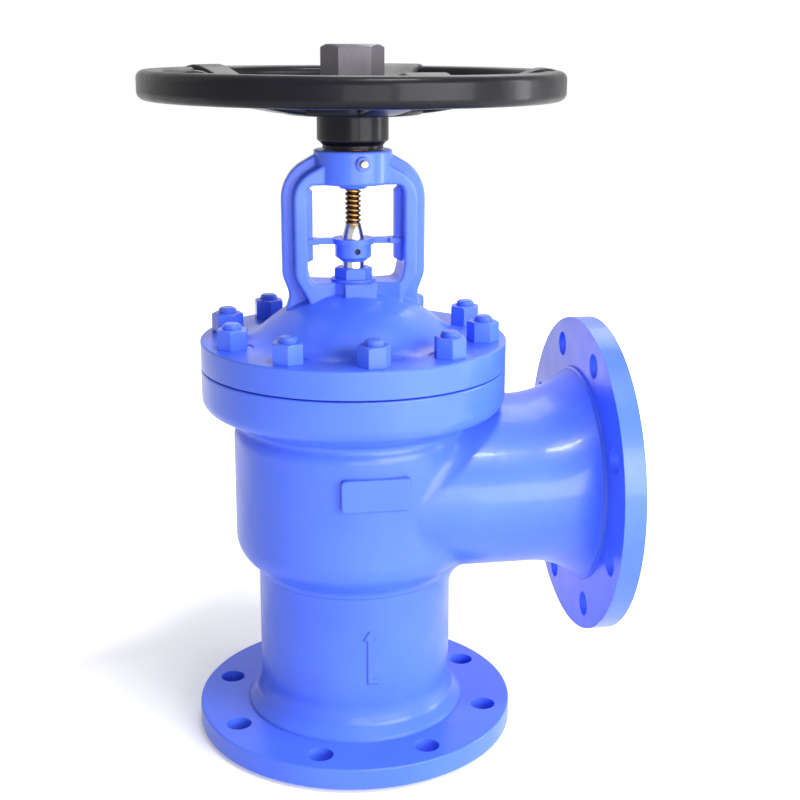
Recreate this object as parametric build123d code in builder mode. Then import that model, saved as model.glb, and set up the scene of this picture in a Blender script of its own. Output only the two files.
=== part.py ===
from build123d import *
import math
import os

os.makedirs("parts", exist_ok=True)

# Millimetres. Z runs up the stem and X runs towards the outlet.
# The origin is the centre of the inlet flange's raised face.

# Clearances
fit_gap = 0.05        # a turned piece in its bore, on the radius
seat_gap = 0.3        # pieces that pass or face each other without bearing
run_gap = 0.08        # a shaft that turns or slides in its bore, on the radius
hole_gap = 1.0        # a stud in its clearance hole, on the radius
stem_pass_gap = 1.5   # the stem through a ring that doesn't guide it, on the radius

# Pipe ends, nominal size 150, pressure class 16
bore_r = 75.0
flange_reach = 3.0    # centre to face, in bores' radii
pipe_flange_t = 22.0
raised_face_w = 31.0
raised_face_t = 3.0
bolt_circle_step = 14.0
flange_edge = 22.5
bolt_hole_r = 11.0
bolt_count = 8
hub_ring_step = 12.0
hub_ring_t = 2.0

# Body casting
neck_wall = 11.0
neck_foot_w = 3.5
neck_flare_h = 22.0
neck_h = 155.5
shoulder_h = 15.0
chamber_step = 19.5
body_wall = 9.5
chamber_over = 55.0
throat_step = 6.5
throat_h = 7.5
throat_wall = 13.0
throat_lip_h = 6.5
cover_cone_h = 16.5
cover_rim_h = 32.0
gasket_w = 12.0
gasket_recess = 10.0
stud_inset = 14.0
cover_edge = 20.0
branch_trim_w = 6.0
branch_half_h = 73.5
branch_start_x = 30.0
branch_waist_gap = 39.5
branch_swell_l = 26.0
branch_swell_h = 3.5
branch_swell_w = 0.5
branch_end_h = 0.5
pad_w = 58.0
pad_h = 28.0
pad_proud = 2.5
pad_corner_r = 4.0
pad_x = 3.0
pad_rise = 25.0

# Rounds of the body casting
edge_round = 1.5
hub_ring_round = 0.8
neck_foot_round = 8.0
neck_flare_round = 30.0
shoulder_foot_round = 0.0
shoulder_round = 30.0
chamber_round = 14.0
throat_round = 5.0
cover_cone_round = 12.0
chamber_in_round = 8.0
lip_in_round = 5.0
branch_round = 20.0

# Seat, disc and its fastening to the stem
seat_lip = 2.5
seat_ring_w = 5.0
seat_ring_h = 16.0
seat_proud = 2.5
seat_lead = 1.5
disc_inset = 1.0
disc_t = 13.0
disc_chamfer = 2.5
disc_hub_r = 30.0
disc_hub_h = 14.0
disc_nut_r = 23.0
disc_nut_h = 11.0
stem_head_r = 15.0
stem_head_h = 7.0
lock_pin_r = 1.5
lock_pin_depth = 4.0

# Bellows and its end rings
bellows_r = 31.0
bellows_in_r = 21.0
bellows_wall = 0.8
bellows_turns = 12
bottom_ring_h = 9.0
bottom_ring_rise = 13.0
top_ring_t = 10.0
top_ring_spigot = 6.0
gasket_t = 2.0

# Stem
stem_r = 9.35
stem_thread_r = 6.75
stem_lift = 38.0
stem_cone_h = 11.0
stem_cone_rise = 1.3
stem_end_gap = 4.0
stem_end_round = 1.0
lift_gap = 3.8

# Bonnet casting
flange_split = 1.5
bonnet_flange_t = 23.0
dome_r = 115.0
dome_foot_w = 2.0
dome_foot_round = 35.0
dome_wall = 11.0
box_wall = 7.0
box_boss_wall = 9.0
box_drop = 10.5
box_floor_t = 4.0
packing_r = 15.0
box_pad_w = 27.0
box_pad_h = 18.0
box_pad_x = 3.0
box_pad_proud = 3.0
spot_face_w = 3.6

# Yoke
window_half_w = 41.0
window_foot_in = 3.0
window_knee_h = 14.0
yoke_w = 20.0
yoke_half_d = 20.0
yoke_rib_w = 9.0
yoke_rib_half_t = 5.5
yoke_waist_in = 6.5
yoke_waist_drop = 11.5
yoke_knee_rise = 5.5
yoke_shoulder_rise = 8.0
shoulder_rise = 17.0
yoke_foot_out = 1.0
yoke_sink = 8.0
plate_foot_in = 9.0
plate_waist_in = 12.5
plate_knee_in = 0.5
plate_drop = 5.0
plate_head_in = 4.5
plate_head_drop = 8.0
rib_head_in = 2.0
web_half_d = 12.0
rail_w = 6.0
rail_half_t = 4.0
rail_lap = 16.0
head_wall = 7.0
head_boss_r = 11.5
head_boss_h = 4.5
head_boss_flare = 1.5

# Rounds of the bonnet casting
plate_round = 2.0
rib_edge_round = 1.5
rib_round = 36.0
rib_waist_round = 14.0
rib_knee_round = 20.0
plate_waist_round = 10.0
plate_knee_round = 18.0
window_foot_round = 6.0
window_knee_round = 8.0
window_top_round = 7.0
head_low_round = 2.5
head_boss_round = 4.0

# Cover studs and nuts
stud_count = 10
stud_r = 8.0
stud_end = 4.5
stud_chamfer = 2.0
stud_depth = 26.0
nut_flats = 24.0
nut_h = 17.0
nut_chamfer = 1.5
nut_turns = (14, -22, 9, 33, -8, 21, -35, 4, 27, -15)

# Stuffing box pieces
bush_h = 20.0
base_ring_h = 3.0
packing_count = 4
packing_h = 5.0
packing_gap = 0.1
follower_h = 7.0
gland_plug_h = 5.5
gland_flats = 28.0
gland_hex_h = 9.5
gland_chamfer = 2.5
gland_collar_in = 2.8
gland_collar_t = 2.0

# Travel indicator
indicator_gap = 5.1
indicator_plate_t = 4.6
indicator_plate_w = 2.3
indicator_hub_w = 6.15
indicator_hub_h = 11.0
indicator_cone_h = 4.0
indicator_foot_w = 1.0
indicator_arm_w = 8.0
fork_depth = 10.0
fork_cheek = 3.2
set_screw_r = 2.5
set_screw_inset = 2.0
set_screw_angle = -84.0

# Drive in the yoke head
sleeve_r = 15.0
sleeve_end_gap = 3.0
sleeve_end_round = 1.0
cavity_floor_t = 7.5
cavity_w = 11.0
collar_in = 3.5
collar_t = 4.0
race_t = 1.6
roller_t = 3.0
roller_gap = 0.2
roller_in = 1.0
retainer_t = 4.1
lock_screw_r = 2.0
nipple_angle = -84.0
nipple_rise = 0.8
nipple_r = 3.2
nipple_boss_w = 2.3
nipple_boss_h = 2.5
nipple_shank_r = 2.2
nipple_head_h = 4.5
nipple_round = 1.2

# Handwheel
wheel_r = 176.0
rim_w = 22.0
rim_rise = 40.0
rim_h = 23.5
rim_round = 6.5
spoke_count = 5
spoke_start_deg = -7.2
spoke_w = 30.0
spoke_t = 12.0
spoke_flare = 10.0
spoke_stand = 2.0
spoke_round = 4.5
spoke_shares = (0.0, 0.22, 0.55, 0.78, 0.93, 1.0)
spoke_climb = (0.0, 0.03, 0.36, 0.74, 1.0, 0.86)
spoke_root = 10.0
hub_wall = 15.0
hub_foot_in = 4.5
hub_foot_h = 3.0
hub_foot_cone_h = 4.0
hub_lift = 1.0
hub_h = 54.0
hub_neck_in = 2.0
plate_w = 30.0
plate_rise = 28.0
plate_t = 12.0
plate_cone_h = 4.0
hub_round = 2.0
plate_edge_round = 4.0
hub_neck_round = 6.0
key_w = 6.0
key_h = 6.0
key_len = 30.0
key_rise = 8.0
washer_in = 3.0
washer_t = 4.0
wheel_nut_flats = 46.0
wheel_nut_h = 26.0
wheel_nut_cap = 5.0
wheel_nut_chamfer = 2.0
wheel_nut_turn = -8.0

# Pipe ends and body, from the bore outwards and from the inlet face up
centre_to_face = flange_reach * bore_r
raised_face_r = bore_r + raised_face_w
bolt_circle_r = raised_face_r + bolt_circle_step
pipe_flange_r = bolt_circle_r + flange_edge
neck_r = bore_r + neck_wall
hub_ring_r = neck_r + hub_ring_step
chamber_r = neck_r + chamber_step
inner_r = chamber_r - body_wall
throat_r = chamber_r - throat_step
cover_bore_r = throat_r - throat_wall
gasket_seat_r = cover_bore_r + gasket_w
stud_circle_r = gasket_seat_r + stud_inset
cover_r = stud_circle_r + cover_edge
branch_z = centre_to_face
branch_half_w = chamber_r - branch_trim_w
branch_waist_x = chamber_r + branch_waist_gap
chamber_top_z = branch_z + chamber_over
throat_z = chamber_top_z + throat_h
cone_top_z = throat_z + cover_cone_h
body_top_z = cone_top_z + cover_rim_h
recess_z = body_top_z - gasket_recess
shoulder_slope = shoulder_h / chamber_step
inner_rise = body_wall * math.hypot(1, shoulder_slope)
pad_face_y = chamber_r + pad_proud
pad_z = branch_z + pad_rise


def inner_shoulder_z(radius):
    """Height of the chamber's inner shoulder at a radius."""
    return neck_h + shoulder_slope * (radius - neck_r) + inner_rise


# Seat, disc and bellows, from the seat up
seat_bore_r = bore_r - seat_lip
seat_ring_r = bore_r + seat_ring_w
disc_r = seat_ring_r - disc_inset
floor_z = inner_shoulder_z(seat_ring_r)
seat_z = floor_z + seat_proud
seat_pocket_z = seat_z - seat_ring_h
disc_top_z = seat_z + disc_t
disc_hub_z = disc_top_z + disc_hub_h
disc_nut_z = disc_hub_z - disc_nut_h
lock_pin_z = disc_nut_z + disc_nut_h / 2
stem_head_z = disc_nut_z - stem_head_h
bottom_ring_z = disc_hub_z + bottom_ring_rise
bellows_z = bottom_ring_z + bottom_ring_h
ring_z = recess_z + gasket_t
ring_top_z = ring_z + top_ring_t
bellows_top_z = ring_z - top_ring_spigot

# Bonnet and stuffing box, from the body's top up
bonnet_z = body_top_z + flange_split
bonnet_recess_z = ring_top_z + gasket_t
nut_z = bonnet_z + bonnet_flange_t
dome_foot_r = cover_bore_r + dome_foot_w
dome_z = nut_z - math.sqrt(dome_r**2 - dome_foot_r**2)
spot_face_r = nut_flats / math.sqrt(3) + spot_face_w
box_r = packing_r + box_wall
box_boss_r = packing_r + box_boss_wall
box_floor_z = nut_z - box_drop
bush_z = box_floor_z + box_floor_t
base_ring_z = bush_z + bush_h
packing_z = base_ring_z + base_ring_h
follower_z = packing_z + packing_count * packing_h
gland_plug_z = follower_z + follower_h
box_top_z = gland_plug_z + gland_plug_h
gland_hex_z = box_top_z + gland_collar_t
gland_collar_r = box_r - gland_collar_in
box_pad_y = box_r + box_pad_proud

# Travel indicator, from the gland nut up
indicator_foot_z = gland_hex_z + gland_hex_h + indicator_gap
indicator_hub_z = indicator_foot_z + indicator_cone_h
indicator_plate_z = indicator_hub_z + indicator_hub_h
indicator_top_z = indicator_plate_z + indicator_plate_t
indicator_hub_r = stem_r + indicator_hub_w
indicator_plate_r = indicator_hub_r + indicator_plate_w
set_screw_z = indicator_hub_z + indicator_hub_h / 2
rail_bottom_z = indicator_plate_z - rail_lap
stem_cone_z = indicator_top_z + stem_cone_rise

# Yoke head and drive, clear of the indicator at full lift
boss_z = indicator_top_z + stem_lift + lift_gap
head_z = boss_z + head_boss_h
cavity_z = head_z + cavity_floor_t
bearing_t = 2 * race_t + roller_t
sleeve_bottom_z = cavity_z + seat_gap
collar_z = cavity_z + bearing_t
upper_bearing_z = collar_z + collar_t
retainer_z = upper_bearing_z + bearing_t
head_top_z = retainer_z + retainer_t
cavity_r = sleeve_r + cavity_w
collar_r = cavity_r - collar_in
head_r = cavity_r + head_wall
nipple_z = upper_bearing_z + nipple_rise
nipple_face_r = head_r + nipple_boss_h
nipple_boss_r = nipple_r + nipple_boss_w

# Yoke frame
window_z = box_top_z
yoke_half_w = window_half_w + yoke_w
plate_half_w = yoke_half_w - yoke_rib_w
waist_half_w = yoke_half_w - yoke_waist_in
waist_z = box_top_z - yoke_waist_drop
yoke_knee_z = box_top_z + yoke_knee_rise
yoke_shoulder_z = head_z + yoke_shoulder_rise
yoke_root_z = dome_z + math.sqrt(dome_r**2 - yoke_half_w**2) - yoke_sink
rail_x = window_half_w - rail_w

# Handwheel, from the yoke head up
hub_r = sleeve_r + hub_wall
hub_foot_r = hub_r - hub_foot_in
hub_neck_r = hub_r - hub_neck_in
hub_bottom_z = head_top_z + hub_lift
hub_top_z = hub_bottom_z + hub_h
plate_r = hub_r + plate_w
plate_z = hub_bottom_z + plate_rise
plate_top_z = plate_z + plate_t
rim_mid_r = wheel_r - rim_w / 2
rim_mid_z = hub_bottom_z + rim_rise + rim_h / 2
key_z = hub_bottom_z + key_rise
washer_z = hub_top_z
washer_r = hub_r - washer_in
wheel_nut_z = washer_z + washer_t
nut_cap_z = wheel_nut_z + wheel_nut_h - wheel_nut_cap
sleeve_top_z = nut_cap_z - sleeve_end_gap
stem_top_z = nut_cap_z - stem_lift - stem_end_gap


def rounded(corners):
    """Draw a closed outline through (x, y, corner radius) triples."""
    points = [(x, y) for x, y, _ in corners]
    radii = [radius for _, _, radius in corners]
    FilletPolyline(*points, radius=radii, close=True)


def turned(corners):
    """Revolve an outline of (radius, height, corner radius) triples about the stem axis."""
    with BuildPart() as piece:
        with BuildSketch(Plane.XZ):
            with BuildLine():
                rounded(corners)
            make_face()
        revolve(axis=Axis.Z)
    return piece.part


def tube(outer_r, hole_r, z, height):
    """Make a plain ring that stands on a height."""
    with BuildPart() as piece:
        with BuildSketch(Plane.XY.offset(z)):
            Circle(outer_r)
            Circle(hole_r, mode=Mode.SUBTRACT)
        extrude(amount=height)
    return piece.part


def finish(name, part):
    """Label a finished piece and write it."""
    part.label = name
    export_step(part, f"parts/{name}.step")


# Valve body
with BuildPart() as upright:
    with BuildSketch(Plane.XZ):
        with BuildLine():
            rounded([
                (0, 0, 0),
                (raised_face_r, 0, 0),
                (raised_face_r, raised_face_t, 0),
                (pipe_flange_r, raised_face_t, edge_round),
                (pipe_flange_r, pipe_flange_t, edge_round),
                (hub_ring_r, pipe_flange_t, 0),
                (hub_ring_r, pipe_flange_t + hub_ring_t, hub_ring_round),
                (neck_r + neck_foot_w, pipe_flange_t + neck_flare_h / 2, neck_foot_round),
                (neck_r, pipe_flange_t + neck_flare_h, neck_flare_round),
                (neck_r, neck_h, shoulder_foot_round),
                (chamber_r, neck_h + shoulder_h, shoulder_round),
                (chamber_r, chamber_top_z, chamber_round),
                (throat_r, throat_z, throat_round),
                (cover_r, cone_top_z, cover_cone_round),
                (cover_r, body_top_z, edge_round),
                (0, body_top_z, 0),
            ])
        make_face()
    revolve(axis=Axis.Z)


def across(x):
    """Plane across the branch at a distance from the stem axis, centred on the branch."""
    return Plane((x, 0, branch_z), x_dir=(0, 1, 0), z_dir=(1, 0, 0))


flange_x = centre_to_face - pipe_flange_t
hub_x = flange_x - hub_ring_t
face_x = centre_to_face - raised_face_t
branch_end_r = hub_ring_r - hub_ring_t

with BuildPart() as branch:
    with BuildSketch(across(branch_start_x)):
        Ellipse(branch_half_w, branch_half_h)
    extrude(amount=branch_waist_x - branch_start_x)
    with BuildSketch(across(branch_waist_x)):
        Ellipse(branch_half_w, branch_half_h)
    with BuildSketch(across(branch_waist_x + branch_swell_l)):
        Ellipse(branch_half_w - branch_swell_w, branch_half_h + branch_swell_h)
    with BuildSketch(across(hub_x)):
        Ellipse(branch_end_r, branch_end_r - branch_end_h)
    loft()
    with BuildSketch(across(hub_x)):
        Circle(hub_ring_r)
    extrude(amount=hub_ring_t)
    with BuildSketch(across(flange_x)):
        Circle(pipe_flange_r)
    extrude(amount=face_x - flange_x)
    with BuildSketch(across(face_x)):
        Circle(raised_face_r)
    extrude(amount=raised_face_t)

with BuildPart() as flow_passage:
    with BuildSketch(Plane.XZ):
        with BuildLine():
            rounded([
                (0, 0, 0),
                (bore_r, 0, 0),
                (bore_r, seat_pocket_z, 0),
                (seat_ring_r, seat_pocket_z, 0),
                (seat_ring_r, floor_z, 0),
                (inner_r, inner_shoulder_z(inner_r), shoulder_round - body_wall),
                (inner_r, chamber_top_z - body_wall, chamber_in_round),
                (cover_bore_r, throat_z - throat_lip_h, lip_in_round),
                (cover_bore_r, recess_z, 0),
                (gasket_seat_r, recess_z, 0),
                (gasket_seat_r, body_top_z, 0),
                (0, body_top_z, 0),
            ])
        make_face()
    revolve(axis=Axis.Z)
    with BuildSketch(across(branch_start_x)):
        Ellipse(branch_half_w - body_wall, branch_half_h - body_wall)
    extrude(amount=branch_waist_x - branch_start_x)
    with BuildSketch(across(branch_waist_x)):
        Ellipse(branch_half_w - body_wall, branch_half_h - body_wall)
    with BuildSketch(across(hub_x)):
        Circle(bore_r)
    loft()
    with BuildSketch(across(hub_x)):
        Circle(bore_r)
    extrude(amount=centre_to_face - hub_x)


def on_circle(radius, count, start_deg, z):
    """Places spaced evenly round the stem axis at a height."""
    step = 360 / count
    angles = [math.radians(start_deg + step * i) for i in range(count)]
    return [(radius * math.cos(a), radius * math.sin(a), z) for a in angles]


stud_start_deg = 180 / stud_count
bolt_start_deg = 180 / bolt_count

with BuildPart() as valve_body:
    add(upright.part)
    add(branch.part)
    seam = valve_body.edges(Select.NEW)
    low_seam = [edge for edge in seam if edge.center().Z < branch_z + branch_half_h / 2]
    fillet(low_seam, branch_round)
    add(flow_passage.part, mode=Mode.SUBTRACT)
    with BuildSketch(Plane.XY):
        with PolarLocations(bolt_circle_r, bolt_count, start_angle=bolt_start_deg):
            Circle(bolt_hole_r)
    extrude(amount=pipe_flange_t, mode=Mode.SUBTRACT)
    with BuildSketch(across(centre_to_face)):
        with PolarLocations(bolt_circle_r, bolt_count, start_angle=bolt_start_deg):
            Circle(bolt_hole_r)
    extrude(amount=-pipe_flange_t, mode=Mode.SUBTRACT)
    with BuildSketch(Plane.XY.offset(body_top_z)):
        with PolarLocations(stud_circle_r, stud_count, start_angle=stud_start_deg):
            Circle(stud_r + fit_gap)
    extrude(amount=-stud_depth, mode=Mode.SUBTRACT)
    with BuildSketch(Plane.XZ.offset(pad_face_y)):
        with Locations((pad_x, pad_z)):
            RectangleRounded(pad_w, pad_h, pad_corner_r)
    extrude(amount=inner_r + seat_gap - pad_face_y)
finish("valve_body", valve_body.part)

# Seat ring, in its pocket at the top of the neck
finish("seat_ring", turned([
    (seat_bore_r, seat_pocket_z, 0),
    (seat_ring_r - fit_gap, seat_pocket_z, 0),
    (seat_ring_r - fit_gap, seat_z - seat_lead, 0),
    (seat_ring_r - fit_gap - seat_lead, seat_z, 0),
    (seat_bore_r + seat_lead, seat_z, 0),
    (seat_bore_r, seat_z - seat_lead, 0),
]))

# Disc, flat on the seat ring, with a pocket for the stem's head
with BuildPart() as disc:
    add(turned([
        (0, seat_z, 0),
        (disc_r, seat_z, 0),
        (disc_r, disc_top_z - disc_chamfer, 0),
        (disc_r - disc_chamfer, disc_top_z, 0),
        (disc_hub_r, disc_top_z, 0),
        (disc_hub_r, disc_hub_z, 0),
        (disc_nut_r, disc_hub_z, 0),
        (disc_nut_r, disc_nut_z, 0),
        (stem_head_r + seat_gap, disc_nut_z, 0),
        (stem_head_r + seat_gap, stem_head_z, 0),
        (0, stem_head_z, 0),
    ]))
    with BuildSketch(Plane.YZ):
        with Locations((0, lock_pin_z)):
            Circle(lock_pin_r + fit_gap)
    extrude(amount=disc_hub_r, mode=Mode.SUBTRACT)
finish("disc", disc.part)

with BuildPart() as disc_retaining_nut:
    add(tube(disc_nut_r - fit_gap, stem_r + seat_gap, disc_nut_z, disc_nut_h))
    with BuildSketch(Plane.YZ):
        with Locations((0, lock_pin_z)):
            Circle(lock_pin_r + fit_gap)
    extrude(amount=disc_nut_r, mode=Mode.SUBTRACT)
finish("disc_retaining_nut", disc_retaining_nut.part)

with BuildPart() as disc_lock_pin:
    with BuildSketch(Plane.YZ.offset(disc_nut_r - lock_pin_depth)):
        with Locations((0, lock_pin_z)):
            Circle(lock_pin_r)
    extrude(amount=disc_hub_r - disc_nut_r + lock_pin_depth)
finish("disc_lock_pin", disc_lock_pin.part)

# Stem, from its head in the disc to the top of its thread
finish("stem", turned([
    (0, stem_head_z, 0),
    (stem_head_r, stem_head_z, 0),
    (stem_head_r, disc_nut_z, 0),
    (stem_r, disc_nut_z, 0),
    (stem_r, stem_cone_z, 0),
    (stem_thread_r, stem_cone_z + stem_cone_h, 0),
    (stem_thread_r, stem_top_z, stem_end_round),
    (0, stem_top_z, 0),
]))

# Bellows between its welded end rings
finish("bellows_bottom_ring", tube(bellows_r, stem_r + fit_gap, bottom_ring_z, bottom_ring_h))

pitch = (bellows_top_z - bellows_z) / bellows_turns
folds = []
for turn in range(bellows_turns):
    folds.append((bellows_in_r, bellows_z + pitch * turn))
    folds.append((bellows_r, bellows_z + pitch * (turn + 0.5)))
folds.append((bellows_in_r, bellows_top_z))
inner_folds = [(radius - bellows_wall, z) for radius, z in reversed(folds)]
with BuildPart() as bellows:
    with BuildSketch(Plane.XZ):
        with BuildLine():
            Polyline(*folds, *inner_folds, close=True)
        make_face()
    revolve(axis=Axis.Z)
finish("bellows", bellows.part)

finish("bellows_top_ring", turned([
    (stem_r + stem_pass_gap, bellows_top_z, 0),
    (bellows_r, bellows_top_z, 0),
    (bellows_r, ring_z, 0),
    (gasket_seat_r - fit_gap, ring_z, 0),
    (gasket_seat_r - fit_gap, ring_top_z, 0),
    (stem_r + stem_pass_gap, ring_top_z, 0),
]))

# Gaskets under and over the bellows' top ring
gasket_in_r = cover_bore_r + seat_gap
gasket_out_r = gasket_seat_r - seat_gap
finish("body_gasket", tube(gasket_out_r, gasket_in_r, recess_z, gasket_t))
finish("bonnet_gasket", tube(gasket_out_r, gasket_in_r, ring_top_z, gasket_t))


def mirrored(right):
    """Add the left-hand half to the right-hand corners of a symmetric outline."""
    left = [(-x, z, radius) for x, z, radius in reversed(right)]
    return right + left


# Yoke frame: a deep inner plate, a narrow outer rib and two guide rails
shoulder_top_z = yoke_shoulder_z + shoulder_rise
rib_edge = mirrored([
    (yoke_half_w + yoke_foot_out, yoke_root_z, 0),
    (waist_half_w, waist_z, rib_waist_round),
    (yoke_half_w, yoke_knee_z, rib_knee_round),
    (yoke_half_w, yoke_shoulder_z, rib_round),
    (head_r - rib_head_in, shoulder_top_z, 0),
])
plate_edge = mirrored([
    (plate_half_w - plate_foot_in, yoke_root_z, 0),
    (plate_half_w - plate_waist_in, waist_z - plate_drop, plate_waist_round),
    (plate_half_w - plate_knee_in, yoke_knee_z, plate_knee_round),
    (plate_half_w, yoke_shoulder_z - plate_drop, rib_round - yoke_rib_w),
    (head_r - rib_head_in - plate_head_in, shoulder_top_z - plate_head_drop, 0),
])
window_edge = mirrored([
    (window_half_w - window_foot_in, window_z, window_foot_round),
    (window_half_w, window_z + window_knee_h, window_knee_round),
    (window_half_w, head_z, window_top_round),
])

with BuildPart() as yoke_plate:
    with BuildSketch(Plane.XZ):
        with BuildLine():
            rounded(plate_edge)
        make_face()
        with BuildLine():
            rounded(window_edge)
        make_face(mode=Mode.SUBTRACT)
    extrude(amount=yoke_half_d, both=True)
    rims = yoke_plate.edges().group_by(Axis.Y)
    fillet(rims[0] + rims[-1], plate_round)

scoop_depth = yoke_half_d - web_half_d
scoop_w = window_half_w - rail_half_t
scoop_r = (scoop_w**2 + scoop_depth**2) / (2 * scoop_depth)
with BuildPart() as web_scoops:
    with BuildSketch(Plane.XY.offset(yoke_root_z)):
        for side in (-1, 1):
            with Locations((0, side * (web_half_d + scoop_r))):
                Circle(scoop_r)
    extrude(amount=window_z - yoke_root_z)

with BuildPart() as yoke_rib:
    with BuildSketch(Plane.XZ):
        with BuildLine():
            rounded(rib_edge)
        make_face()
        with BuildLine():
            rounded(window_edge)
        make_face(mode=Mode.SUBTRACT)
    extrude(amount=yoke_rib_half_t, both=True)
    rims = yoke_rib.edges().group_by(Axis.Y)
    fillet(rims[0] + rims[-1], rib_edge_round)

with BuildPart() as guide_rails:
    for side in (-1, 1):
        with BuildSketch(Plane.XZ):
            with BuildLine():
                Polyline(
                    (side * rail_x, rail_bottom_z + rail_w / 2),
                    (side * (window_half_w + seat_gap), rail_bottom_z),
                    (side * (window_half_w + seat_gap), head_z),
                    (side * rail_x, head_z - rail_w),
                    close=True,
                )
            make_face()
        extrude(amount=rail_half_t, both=True)

# Bonnet casting round the yoke
with BuildPart() as dome:
    with BuildSketch(Plane.XZ) as dome_outline:
        with Locations((0, dome_z)):
            Circle(dome_r)
        with Locations((0, bonnet_z)):
            Rectangle(dome_r, dome_r, align=(Align.MIN, Align.MIN), mode=Mode.INTERSECT)
            Rectangle(cover_r, bonnet_flange_t, align=(Align.MIN, Align.MIN))
        corners = dome_outline.vertices()
        fillet(corners.sort_by_distance((dome_foot_r, nut_z))[0], dome_foot_round)
        fillet(dome_outline.vertices().sort_by_distance((cover_r, nut_z))[0], edge_round)
    revolve(axis=Axis.Z)

with BuildPart() as bonnet_cavity:
    with BuildSketch(Plane.XZ):
        with Locations((0, dome_z)):
            Circle(dome_r - dome_wall)
        with Locations((0, bonnet_recess_z)):
            Rectangle(cover_bore_r, dome_r, align=(Align.MIN, Align.MIN), mode=Mode.INTERSECT)
        with Locations((0, box_floor_z)):
            Rectangle(box_boss_r, dome_r, align=(Align.MIN, Align.MIN), mode=Mode.SUBTRACT)
        with Locations((0, bonnet_z)):
            Rectangle(gasket_seat_r, bonnet_recess_z - bonnet_z, align=(Align.MIN, Align.MIN))
    revolve(axis=Axis.Z)

with BuildPart() as stuffing_bore:
    add(turned([
        (0, box_floor_z, 0),
        (stem_r + stem_pass_gap, box_floor_z, 0),
        (stem_r + stem_pass_gap, bush_z, 0),
        (packing_r, bush_z, 0),
        (packing_r, box_top_z, 0),
        (0, box_top_z, 0),
    ]))

with BuildPart() as head_bore:
    add(turned([
        (0, boss_z, 0),
        (stem_r + seat_gap, boss_z, 0),
        (stem_r + seat_gap, cavity_z, 0),
        (cavity_r, cavity_z, 0),
        (cavity_r, head_top_z, 0),
        (0, head_top_z, 0),
    ]))


def radial(angle_deg, distance, z):
    """Plane that faces out from the stem axis at an angle, distance and height."""
    angle = math.radians(angle_deg)
    out = (math.cos(angle), math.sin(angle), 0)
    across_out = (-math.sin(angle), math.cos(angle), 0)
    return Plane((out[0] * distance, out[1] * distance, z), x_dir=across_out, z_dir=out)


with BuildPart() as bonnet:
    add(yoke_plate.part)
    add(web_scoops.part, mode=Mode.SUBTRACT)
    add(yoke_rib.part)
    add(guide_rails.part)
    add(dome.part)
    with BuildSketch(Plane.XY.offset(bonnet_z)):
        Circle(box_r)
    extrude(amount=box_top_z - bonnet_z)
    add(turned([
        (0, boss_z, 0),
        (head_boss_r, boss_z, edge_round),
        (head_boss_r + head_boss_flare, head_z, head_boss_round),
        (head_r, head_z, head_low_round),
        (head_r, head_top_z, edge_round),
        (0, head_top_z, 0),
    ]))
    with BuildSketch(radial(nipple_angle, cavity_r + seat_gap, nipple_z)):
        Circle(nipple_boss_r)
    extrude(amount=nipple_face_r - cavity_r - seat_gap)
    with BuildSketch(Plane.XZ.offset(box_pad_y)):
        with Locations((box_pad_x, box_top_z - box_pad_h / 2)):
            Rectangle(box_pad_w, box_pad_h)
    extrude(amount=packing_r + box_pad_proud - box_pad_y)
    add(bonnet_cavity.part, mode=Mode.SUBTRACT)
    add(stuffing_bore.part, mode=Mode.SUBTRACT)
    add(head_bore.part, mode=Mode.SUBTRACT)
    with BuildSketch(radial(nipple_angle, cavity_r - seat_gap, nipple_z)):
        Circle(nipple_shank_r + fit_gap)
    extrude(amount=head_wall + 2 * nipple_boss_h, mode=Mode.SUBTRACT)
    with BuildSketch(Plane.XY.offset(bonnet_z)):
        with PolarLocations(stud_circle_r, stud_count, start_angle=stud_start_deg):
            Circle(stud_r + hole_gap)
    extrude(amount=bonnet_flange_t + nut_h, mode=Mode.SUBTRACT)
    with BuildSketch(Plane.XY.offset(nut_z)):
        with PolarLocations(stud_circle_r, stud_count, start_angle=stud_start_deg):
            Circle(spot_face_r)
    extrude(amount=nut_h, mode=Mode.SUBTRACT)
    with BuildSketch(Plane.XY.offset(retainer_z)):
        with Locations((0, cavity_r)):
            Circle(lock_screw_r + fit_gap)
    extrude(amount=retainer_t, mode=Mode.SUBTRACT)
finish("bonnet", bonnet.part)

# Cover studs and nuts
stud_top_z = nut_z + nut_h + stud_end
stud = turned([
    (0, body_top_z - stud_depth, 0),
    (stud_r, body_top_z - stud_depth, 0),
    (stud_r, stud_top_z - stud_chamfer, 0),
    (stud_r - stud_chamfer, stud_top_z, 0),
    (0, stud_top_z, 0),
])
with BuildPart() as bonnet_studs:
    with Locations(*on_circle(stud_circle_r, stud_count, stud_start_deg, 0)):
        add(stud)
finish("bonnet_studs", bonnet_studs.part)


def hexagon_nut(flats, height, bore, chamfer_h):
    """Make a hexagon nut on the stem axis, standing on z = 0, with its top corners turned off."""
    corner_r = flats / math.sqrt(3)
    with BuildPart() as nut:
        with BuildSketch(Plane.XY):
            RegularPolygon(flats / 2, 6, major_radius=False)
        extrude(amount=height)
        add(turned([
            (0, 0, 0),
            (corner_r + chamfer_h, 0, 0),
            (corner_r + chamfer_h, height - chamfer_h, 0),
            (corner_r - chamfer_h, height, 0),
            (0, height, 0),
        ]), mode=Mode.INTERSECT)
        if bore > 0:
            with BuildSketch(Plane.XY):
                Circle(bore)
            extrude(amount=height, mode=Mode.SUBTRACT)
    return nut.part


cover_nut = hexagon_nut(nut_flats, nut_h, stud_r + fit_gap, nut_chamfer)
nut_places = on_circle(stud_circle_r, stud_count, stud_start_deg, nut_z)
with BuildPart() as bonnet_nuts:
    for place, turn in zip(nut_places, nut_turns):
        with Locations(Location(place, (0, 0, turn))):
            add(cover_nut)
finish("bonnet_nuts", bonnet_nuts.part)

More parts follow.
